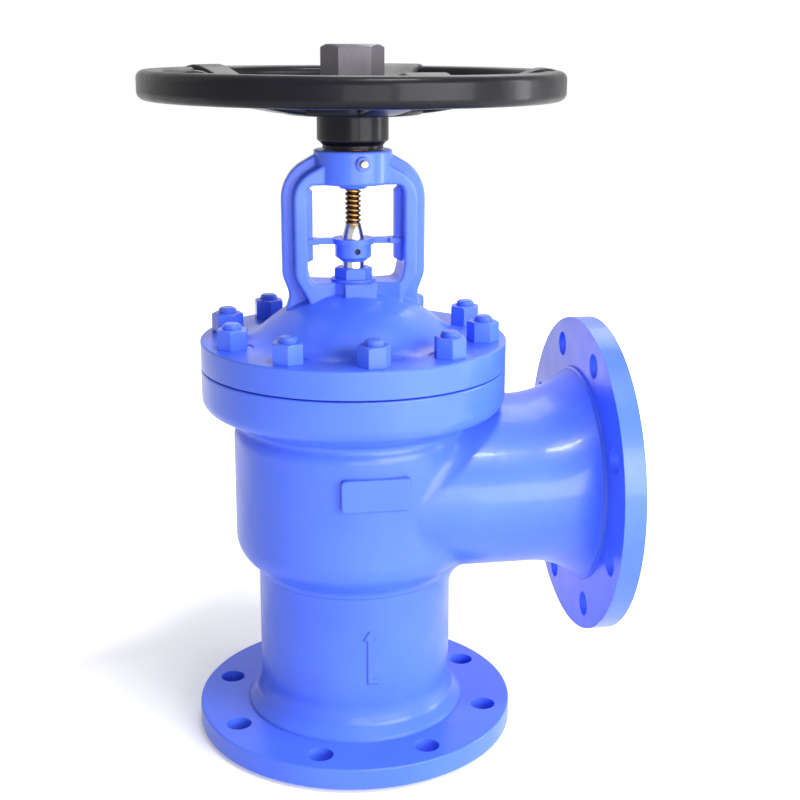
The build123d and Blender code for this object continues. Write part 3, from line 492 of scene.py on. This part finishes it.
class VALVE_OT_studio(bpy.types.Operator):
    """Set the floor, the lamps and the camera"""
    bl_idname = "valve.studio"
    bl_label = "Studio"

    def execute(self, context):
        s = context.scene.valve_studio
        floor = start("studio_floor", bpy.ops.mesh.primitive_circle_add, vertices=96, radius=5.0,
                      fill_type="NGON", location=(0, 0, 0))
        shadow_reach, white_reach, shadow_glow = 0.25, 0.9, 0.30
        # Matt paper: keeps the valve's soft shadow, and fades to plain white further out
        material, tree, shader, place = new_material("matt_paper_floor", Roughness=0.9)
        shader.inputs["Specular IOR Level"].default_value = 0.0
        shader.inputs["Base Color"].default_value = tuple(s.floor_colour)
        shader.inputs["Emission Color"].default_value = (1, 1, 1, 1)
        reach = add_node(tree, "ShaderNodeVectorMath", {0: place}, operation="LENGTH")
        fade = add_node(tree, "ShaderNodeMapRange",
                        {"Value": reach.outputs["Value"], "From Min": shadow_reach,
                         "From Max": white_reach, "To Min": shadow_glow, "To Max": 1.0})
        glow = add_node(tree, "ShaderNodeMath", {0: white_rays(tree), 1: fade.outputs["Result"]},
                        operation="MULTIPLY")
        tree.links.new(glow.outputs[0], shader.inputs["Emission Strength"])
        floor.data.materials.append(material)

        world = bpy.data.worlds.new("studio_room")
        context.scene.world = world
        world.use_nodes = True
        tree = world.node_tree
        tree.nodes.clear()
        strength = add_node(tree, "ShaderNodeMapRange",
                            {"Value": white_rays(tree), "To Min": s.sky, "To Max": 1.0})
        sky = add_node(tree, "ShaderNodeBackground",
                       {"Color": (1, 1, 1, 1), "Strength": strength.outputs[0]})
        add_node(tree, "ShaderNodeOutputWorld", {"Surface": sky.outputs[0]})

        aim = Vector((0, 0, 0.30))
        lamps = (                           # name, place, size, power
            ("key_lamp", (1.15, -1.70, 0.80), (1.5, 1.1), s.key_power),
            ("fill_lamp", (-0.05, -2.05, 0.50), (0.8, 0.6), s.fill_power),
            ("top_lamp", (0.3, -0.6, 2.1), (0.6, 0.14), s.top_power),
            ("back_lamp", (0.6, 1.5, 1.9), (1.2, 1.0), s.back_power),
            ("rim_lamp", (1.9, -0.1, 0.7), (0.4, 1.3), s.rim_power),
        )
        for name, spot, size, power in lamps:
            bpy.ops.object.select_all(action="DESELECT")
            turn = (aim - Vector(spot)).to_track_quat("-Z", "Y").to_euler()
            bpy.ops.object.light_add(type="AREA", location=spot, rotation=turn)
            lamp = context.object
            lamp.name = name
            lamp.data.shape = "RECTANGLE"
            lamp.data.size, lamp.data.size_y = size
            lamp.data.energy = power

        # The camera stands a little left of the valve and looks down at it
        yaw, pitch, roll = -0.1783, 0.2668, 0.0048
        turn = (Matrix.Rotation(yaw, 3, "Z") @ Matrix.Rotation(math.pi / 2 - pitch, 3, "X")
                @ Matrix.Rotation(roll, 3, "Z"))
        bpy.ops.object.select_all(action="DESELECT")
        bpy.ops.object.camera_add(location=(-0.16139, -1.12373, 0.61268), rotation=turn.to_euler())
        camera = context.object
        camera.name = "camera"
        camera.data.sensor_width = 36.0
        camera.data.lens = 60.2
        camera.data.clip_start = 0.05
        camera.data.clip_end = 50.0
        context.scene.camera = camera
        context.scene.view_settings.view_transform = "Standard"
        return {"FINISHED"}


class VALVE_OT_castings(bpy.types.Operator):
    """Paint the body, the bonnet and their blue fittings, and bare their machined faces"""
    bl_idname = "valve.castings"
    bl_label = "Castings"

    def execute(self, context):
        p = context.scene.valve_paint
        blue, deep = tuple(p.blue), tuple(p.deep_blue)
        # Gloss enamel on sand-cast steel: saturated blue, slow waves, soft bright highlights
        cast = enamel(CAST_PAINT, blue, deep, p, wave_depth=0.8 * MM, peel_depth=0.05 * MM,
                      roughness=0.34, coat=0.15, edge=3.2 * MM)
        # The same enamel on turned steel: flat and even, with a crisp edge
        smooth = enamel(TURNED_PAINT, blue, deep, p, wave_depth=0.04 * MM, peel_depth=0.03 * MM,
                        roughness=0.33, coat=0.15, edge=0.8 * MM)
        # Shot-blasted cast steel: dull grey and grainy inside the body
        blasted = plain_metal("shot_blasted_cast_steel", linear("#6E6C69"), linear("#4E4C4A"),
                              roughness=0.62, metallic=0.75, grain=1.6 * MM, depth=0.25 * MM)
        # Turned sealing faces: bright rings of a coarse feed
        bright, dull = linear("#B4B4B2"), linear("#8E8E8C")
        feed = {"roughness": 0.34, "groove": 1.6 * MM, "groove_depth": 0.08 * MM}
        inlet_face = turned_metal("turned_inlet_sealing_face", bright, dull, **feed)
        outlet_face = turned_metal("turned_outlet_sealing_face", bright, dull, **feed,
                                   axis="X", centre=(OUTLET_X * MM, 0, BRANCH_Z * MM))

        def body_faces(c, n):
            x, y, z, over = c[:, 0], c[:, 1], c[:, 2], c[:, 2] - BRANCH_Z
            radius, branch = np.hypot(x, y), np.hypot(y, over)
            picked = np.zeros(len(c), int)
            # The turned flanges stand out past the hubs' radius
            hub_r, flange_t, cover_low = 98, 24, 304
            turned = (z < flange_t) & (radius > hub_r)
            turned |= (x > OUTLET_X - flange_t) & (branch > hub_r)
            turned |= (z > cover_low) & (radius > hub_r)
            picked[turned] = 1
            # The inside: chamber, neck, the branch's oval mouth, and the branch on to the outlet
            chamber_r, floor_z, neck_bore_r = 97.5, 162, 82
            outward = (n[:, 0] * x + n[:, 1] * y) / np.maximum(radius, 1)
            inside = (radius < chamber_r) & (z > floor_z) & (outward < 0.3)
            inside |= (radius < neck_bore_r) & (z <= floor_z)
            mouth_start, mouth_end, mouth = 30, 120, np.hypot(y / 90, over / 66) < 1
            inside |= (x > mouth_start) & (x < mouth_end) & mouth
            # Past the mouth, only faces that look at the branch's axis, clear of the cover's foot
            hole_start, past_cover, cover_foot = 90, 180, 296
            to_branch_axis = n[:, 1] * y + n[:, 2] * over < -0.2
            hole = (np.hypot(y / 92, over / 79) < 1) & ((z < cover_foot) | (x > past_cover))
            inside |= (x > hole_start) & hole & to_branch_axis
            picked[inside] = 2
            face_r, face_t = 107, 0.5
            picked[(z < face_t) & (radius < face_r)] = 3
            picked[(x > OUTLET_X - face_t) & (branch < face_r)] = 4
            return picked

        give("valve_body", [cast, smooth, blasted, inlet_face, outlet_face], body_faces)

        def bonnet_faces(c, n):
            radius, z = np.hypot(c[:, 0], c[:, 1]), c[:, 2]
            picked = np.zeros(len(c), int)
            dome_r, flange_top, hollow_r, hollow_top = 128, 362, 98, 352
            head_bore_r, head_low = 27, 489
            picked[(radius > dome_r) & (z < flange_top)] = 1
            picked[(radius < head_bore_r) & (z > head_low)] = 1
            picked[(radius < hollow_r) & (z < hollow_top) & (n[:, 2] < 0)] = 2
            return picked

        give("bonnet", [cast, smooth, blasted], bonnet_faces)
        for node in ("gland_nut", "travel_indicator"):
            give(node, [smooth])
        return {"FINISHED"}


class VALVE_OT_arrow(bpy.types.Operator):
    """Cast the raised flow arrow on the inlet neck"""
    bl_idname = "valve.arrow"
    bl_label = "Flow arrow"

    def execute(self, context):
        s = context.scene.valve_arrow
        half = s.length / MM / 2
        middle = s.centre_z / MM
        shaft, wing, head, foot, sunk = 1.9, 5.5, 9.0, 8.5, 4.0
        tip, end = middle + half, middle - half
        arrow = draw("flow_arrow", [
            (0, tip), (wing, tip - head), (shaft, tip - head), (shaft, end + 2 * shaft),
            (foot, end + 2 * shaft), (foot, end), (-shaft, end), (-shaft, tip - head),
            (-wing, tip - head)], closed=True)
        only(arrow)
        bpy.ops.object.mode_set(mode="EDIT")
        bpy.ops.mesh.select_all(action="SELECT")
        bpy.ops.mesh.edge_face_add()
        bpy.ops.transform.translate(value=(0, -(NECK_R - sunk) * MM, 0))
        bpy.ops.mesh.extrude_region_move(
            TRANSFORM_OT_translate={"value": (0, -sunk * MM - s.proud, 0)})
        bpy.ops.object.mode_set(mode="OBJECT")
        clean(arrow)
        apply_modifier(arrow, "BEVEL", width=0.7 * MM, segments=3, limit_method="ANGLE",
                       angle_limit=math.radians(30))
        clean(arrow, angle_deg=60)
        dress(arrow, "root", bpy.data.materials[CAST_PAINT], "painted_cast_steel")
        return {"FINISHED"}


class VALVE_OT_shoulder(bpy.types.Operator):
    """Cast the soft hollow where the neck meets the chamber's shoulder"""
    bl_idname = "valve.shoulder"
    bl_label = "Shoulder fillet"

    def execute(self, context):
        s = context.scene.valve_shoulder
        foot_z, rise, run = 155.5, 15.0, 19.5      # where the shoulder starts, and its slope
        slope = math.atan2(rise, run)
        sunk_r = NECK_R - 2.0
        radius, steps = s.radius / MM, 8
        reach = radius / math.tan((math.pi / 2 + slope) / 2)
        middle_r, middle_z = NECK_R + radius, foot_z - reach
        turns = [math.pi - (math.pi / 2 - slope) * k / steps for k in range(steps + 1)]
        hollow = [(middle_r + radius * math.cos(a), middle_z + radius * math.sin(a)) for a in turns]
        # The back of the ring is sunk in the casting
        back = [(hollow[-1][0] - 1.0, hollow[-1][1] + 1.6), (sunk_r, foot_z + 1.0),
                (sunk_r, hollow[0][1])]
        ring = turn_round(draw("shoulder_fillet", hollow + back, closed=True), steps=96)
        dress(ring, "root", bpy.data.materials[CAST_PAINT], "painted_cast_steel")
        return {"FINISHED"}


class VALVE_OT_cover_nuts(bpy.types.Operator):
    """Model one cover nut and its stud, and copy them round the cover"""
    bl_idname = "valve.cover_nuts"
    bl_label = "Cover nuts"

    def execute(self, context):
        s = context.scene.valve_nuts
        paint = bpy.data.materials[TURNED_PAINT]
        stud_r, stud_low, stud_top, sides = 8.0, 310.0, 382.0, 32
        nut_z, nut_h, bore_play = 360.5, 17.0, 0.05
        thread_z, shank_top, shank_r = nut_z + 12, nut_z + 14, stud_r - 0.02
        end_r, end_h, end_over = stud_r - 2.4, 2.2, 0.2     # the taper that rounds a stud's end
        nut = hexagon_nut("cover_nut_1", s.flats / MM, nut_h, nut_z, s.soft_edge,
                          bore=stud_r + bore_play, bore_top=nut_z + nut_h + 0.6, countersink=1.0)
        stud = threaded("cover_stud_1", stud_r, s.stud_pitch / MM, thread_z, stud_top, sides,
                        hand=1)
        cut(stud, tapered_tool(stud_r + 0.3, end_r, stud_low, stud_top - end_h,
                               stud_top + end_over), "INTERSECT")
        shank = start("shank", bpy.ops.mesh.primitive_cylinder_add, vertices=sides,
                      radius=shank_r * MM, depth=(shank_top - stud_low) * MM,
                      location=(0, 0, (shank_top + stud_low) / 2 * MM))
        pick(shank, lambda middle, normal: abs(normal.z) > FACING)
        bpy.ops.mesh.bevel(offset=0.8 * MM, segments=1)
        bpy.ops.object.mode_set(mode="OBJECT")
        clean(shank)
        join(stud, shank)
        low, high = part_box("bonnet_studs")
        circle_r = (high.y - low.y) / 2 - stud_r * MM
        for piece, node in ((nut, "bonnet_nuts"), (stud, "bonnet_studs")):
            copies = [piece]
            for number in range(2, STUD_COUNT + 1):
                only(piece)
                bpy.ops.object.duplicate(linked=False)
                copy = context.object
                copy.name = f"{piece.name[:-1]}{number}"
                copy.data.name = copy.name
                copies.append(copy)
            for number, (copy, turn) in enumerate(zip(copies, NUT_TURNS)):
                angle = math.tau * (number + 0.5) / STUD_COUNT
                copy.rotation_euler = (0, 0, math.radians(turn))
                copy.location = (circle_r * math.cos(angle), circle_r * math.sin(angle), 0)
                only(copy)
                bpy.ops.object.transform_apply(location=True, rotation=True, scale=True)
                dress(copy, "root", paint, "painted_fastener", node)
        return {"FINISHED"}


class VALVE_OT_wheel(bpy.types.Operator):
    """Paint the handwheel, and model the nut that holds it"""
    bl_idname = "valve.wheel"
    bl_label = "Handwheel"

    def execute(self, context):
        p = context.scene.valve_paint
        # Semi-gloss black enamel on cast iron: grainy, with a long soft highlight on the rim
        wheel = enamel("black_enamel_on_cast_iron", tuple(p.black), linear("#08080C"), p,
                       wave_depth=0.4 * MM, peel_depth=0.08 * MM, roughness=0.36, coat=0.08,
                       edge=2.0 * MM)
        wheel.node_tree.nodes["Principled BSDF"].inputs["Specular IOR Level"].default_value = 0.22
        # Milled steel: dull grey flats with a lighter worn skin
        steel = plain_metal("milled_steel_nut", linear("#625F66"), linear("#514E55"),
                            roughness=0.38, metallic=0.7, grain=2.0 * MM, depth=0.04 * MM)
        give("handwheel", [wheel])
        for node in ("handwheel_washer", "handwheel_key"):
            give(node, [steel])
        flats, soft_edge, turn_deg = 46.0, 0.8 * MM, -4
        low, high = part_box("handwheel_nut")
        nut = hexagon_nut("wheel_nut", flats, (high.z - low.z) / MM, low.z / MM, soft_edge,
                          bore=15.05, bore_top=600.0, countersink=0.4)
        nut.rotation_euler = (0, 0, math.radians(turn_deg))
        clean(nut, angle_deg=40)
        dress(nut, "turning_wheel", steel, "black_steel", "handwheel_nut")
        return {"FINISHED"}


class VALVE_OT_stem(bpy.types.Operator):
    """Turn the stem's head, shank and cone, and cut its left-hand thread"""
    bl_idname = "valve.stem"
    bl_label = "Stem"

    def execute(self, context):
        s = context.scene.valve_stem
        low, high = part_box("stem")
        foot, top = low.z / MM, high.z / MM
        head_r, head_h, edge, runout = 15.0, 7.0, 0.5, 1.2
        shank_r, thread_r, cone_z, thread_z = 9.35, 6.75, 447.0, 458.0
        shank = draw("stem_shank", [
            (0, foot), (head_r - edge, foot), (head_r, foot + edge), (head_r, foot + head_h - edge),
            (head_r - edge, foot + head_h), (shank_r, foot + head_h), (shank_r, cone_z),
            (thread_r - 0.3, thread_z), (thread_r - runout, thread_z + runout),
            (0, thread_z + runout)])
        turn_round(shank, steps=s.sides)
        overlap = 2.0
        thread = threaded("stem_thread", thread_r, s.pitch / MM, thread_z - overlap, top, s.sides,
                          hand=-1)
        # Ground stainless steel: bright, with rings too fine to feel
        bright = turned_metal("ground_stainless_stem", linear("#D2CFC8"), linear("#ACA9A2"),
                              roughness=0.22, groove=0.8 * MM, groove_depth=0.01 * MM)
        # Greased trapezoidal thread: bronze-brown crests over dark roots
        greased = greased_thread("greased_stem_thread",
                                 low_r=(thread_r - 1.5) * MM, high_r=(thread_r - 0.3) * MM)
        dress(shank, "rising_stem", bright, "polished_steel", "stem")
        dress(thread, "rising_stem", greased, "polished_steel", "stem")
        return {"FINISHED"}


class VALVE_OT_bellows(bpy.types.Operator):
    """Form the bellows out of a thin folded strip"""
    bl_idname = "valve.bellows"
    bl_label = "Bellows"

    def execute(self, context):
        s = context.scene.valve_bellows
        low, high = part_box("bellows")
        foot, top = low.z / MM, high.z / MM
        pitch = (top - foot) / s.turns
        end_gap, bend, bend_steps = 0.1, 1.7, 6
        root, crest = 21.0, high.x / MM - end_gap
        turns = [math.pi * k / bend_steps for k in range(bend_steps + 1)]
        inner = [(root + bend - bend * math.sin(a), bend * (1 - math.cos(a)) - bend) for a in turns]
        outer = [(crest - bend + bend * math.sin(a), pitch / 2 + bend * (1 - math.cos(a)) - bend)
                 for a in turns]
        fold = draw("bellows_folds", [(r, foot + bend + z) for r, z in inner + outer]
                    + [(inner[0][0], foot + pitch)])
        apply_modifier(fold, "ARRAY", count=s.turns, use_relative_offset=False,
                       use_constant_offset=True, constant_offset_displace=(0, 0, pitch * MM),
                       use_merge_vertices=True, merge_threshold=10 * TINY * MM)
        turn_round(fold, steps=64)
        only(fold)
        bpy.ops.object.mode_set(mode="EDIT")
        bpy.ops.mesh.select_all(action="SELECT")
        bpy.ops.mesh.bisect(plane_co=(0, 0, (top - end_gap) * MM), plane_no=(0, 0, 1),
                            clear_outer=True)
        bpy.ops.object.mode_set(mode="OBJECT")
        apply_modifier(fold, "SOLIDIFY", thickness=s.wall, offset=-1)
        clean(fold, angle_deg=50)
        # Formed stainless strip: thin, satin and slightly warm
        strip = plain_metal("formed_stainless_strip", linear("#C2BFB8"), linear("#A5A29B"),
                            roughness=0.26, metallic=1.0, grain=2.0 * MM, depth=0.01 * MM)
        dress(fold, "root", strip, "bellows_steel", "bellows")
        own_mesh(fold)
        return {"FINISHED"}


class VALVE_OT_trim(bpy.types.Operator):
    """Finish the seat, disc, bellows rings, gaskets, packing and bearings"""
    bl_idname = "valve.trim"
    bl_label = "Inner trim"

    def execute(self, context):
        # Hard-faced and turned stainless: bright with visible feed rings
        trim_steel = turned_metal("turned_stainless_trim", linear("#BDBBB6"), linear("#9C9A96"),
                                  roughness=0.28, groove=1.2 * MM, groove_depth=0.03 * MM)
        # Pressed graphite: matt dark grey with a faint sheen
        graphite = plain_metal("pressed_graphite", linear("#3A3A3C"), linear("#2C2C2E"),
                               roughness=0.55, metallic=0.2, grain=1.5 * MM, depth=0.08 * MM)
        # Hardened bearing steel: dark and polished
        bearing = turned_metal("ground_bearing_steel", linear("#A6A6A8"), linear("#8A8A8C"),
                               roughness=0.22, groove=0.8 * MM, groove_depth=0.01 * MM)
        # Turned bronze: warm, with feed rings and a film of grease
        bronze = turned_metal("turned_bronze", linear("#A9793F"), linear("#7E5A30"),
                              roughness=0.34, groove=1.0 * MM, groove_depth=0.02 * MM)
        # Turned brass: pale yellow and bright
        brass = turned_metal("turned_brass", linear("#DCC890"), linear("#C0A464"),
                             roughness=0.34, groove=0.8 * MM, groove_depth=0.01 * MM)
        # Zinc-plated screw steel: pale grey, slightly cloudy
        zinc = plain_metal("zinc_plated_steel", linear("#B9BCC0"), linear("#9DA0A4"),
                           roughness=0.34, metallic=1.0, grain=1.5 * MM, depth=0.02 * MM)
        # Blackened screw steel: all but black at the bottom of its hole
        black = plain_metal("blackened_screw_steel", linear("#1A1A1E"), linear("#101014"),
                            roughness=0.5, metallic=0.6, grain=1.0 * MM, depth=0.02 * MM)
        # The last five nodes have a dressed piece in their place: they are plain but not bare
        wearers = (
            (trim_steel, ("seat_ring", "disc", "disc_retaining_nut", "bellows_bottom_ring",
                          "bellows_top_ring", "gland_follower", "packing_base_ring",
                          "bearing_retainer")),
            (graphite, ("body_gasket", "bonnet_gasket", "packing_rings")),
            (bearing, ("lower_thrust_bearing", "upper_thrust_bearing")),
            (bronze, ("stem_nut", "stem_guide_bush")),
            (brass, ("grease_nipple",)),
            (black, ("indicator_set_screw",)),
            (zinc, ("retainer_lock_screw", "disc_lock_pin", "bonnet_nuts", "bonnet_studs",
                    "handwheel_nut", "stem", "bellows")),
        )
        for material, names in wearers:
            for node in names:
                give(node, [material])
        return {"FINISHED"}


class VALVE_PT_panel(bpy.types.Panel):
    """Buttons and sizes of the valve"""
    bl_idname = "VALVE_PT_panel"
    bl_label = "Valve"
    bl_space_type = "VIEW_3D"
    bl_region_type = "UI"
    bl_category = "Valve"

    def draw(self, context):
        for group, operator in PANEL_ROWS:
            box = self.layout.box()
            box.operator(operator)
            if group:
                settings = getattr(context.scene, group)
                for name in settings.bl_rna.properties.keys():
                    if name not in ("rna_type", "name"):
                        box.prop(settings, name)


GROUPS = (
    ("valve_studio", StudioSettings),
    ("valve_paint", PaintSettings),
    ("valve_arrow", ArrowSettings),
    ("valve_shoulder", ShoulderSettings),
    ("valve_nuts", NutSettings),
    ("valve_stem", StemSettings),
    ("valve_bellows", BellowsSettings),
)
PANEL_ROWS = (
    ("valve_studio", "valve.studio"),
    ("valve_paint", "valve.castings"),
    ("valve_arrow", "valve.arrow"),
    ("valve_shoulder", "valve.shoulder"),
    ("valve_nuts", "valve.cover_nuts"),
    (None, "valve.wheel"),
    ("valve_stem", "valve.stem"),
    ("valve_bellows", "valve.bellows"),
    (None, "valve.trim"),
)
OPERATORS = (VALVE_OT_studio, VALVE_OT_castings, VALVE_OT_arrow, VALVE_OT_shoulder,
             VALVE_OT_cover_nuts, VALVE_OT_wheel, VALVE_OT_stem, VALVE_OT_bellows, VALVE_OT_trim)


def register():
    for name, group in GROUPS:
        bpy.utils.register_class(group)
        setattr(bpy.types.Scene, name, PointerProperty(type=group))
    for made in (*OPERATORS, VALVE_PT_panel):
        bpy.utils.register_class(made)


def unregister():
    for made in reversed((*OPERATORS, VALVE_PT_panel)):
        bpy.utils.unregister_class(made)
    for name, group in reversed(GROUPS):
        delattr(bpy.types.Scene, name)
        bpy.utils.unregister_class(group)


def main():
    register()
    bpy.ops.valve.studio()
    bpy.ops.valve.castings()
    bpy.ops.valve.arrow()
    bpy.ops.valve.shoulder()
    bpy.ops.valve.cover_nuts()
    bpy.ops.valve.wheel()
    bpy.ops.valve.stem()
    bpy.ops.valve.bellows()
    bpy.ops.valve.trim()


if __name__ == "__main__":
    main()
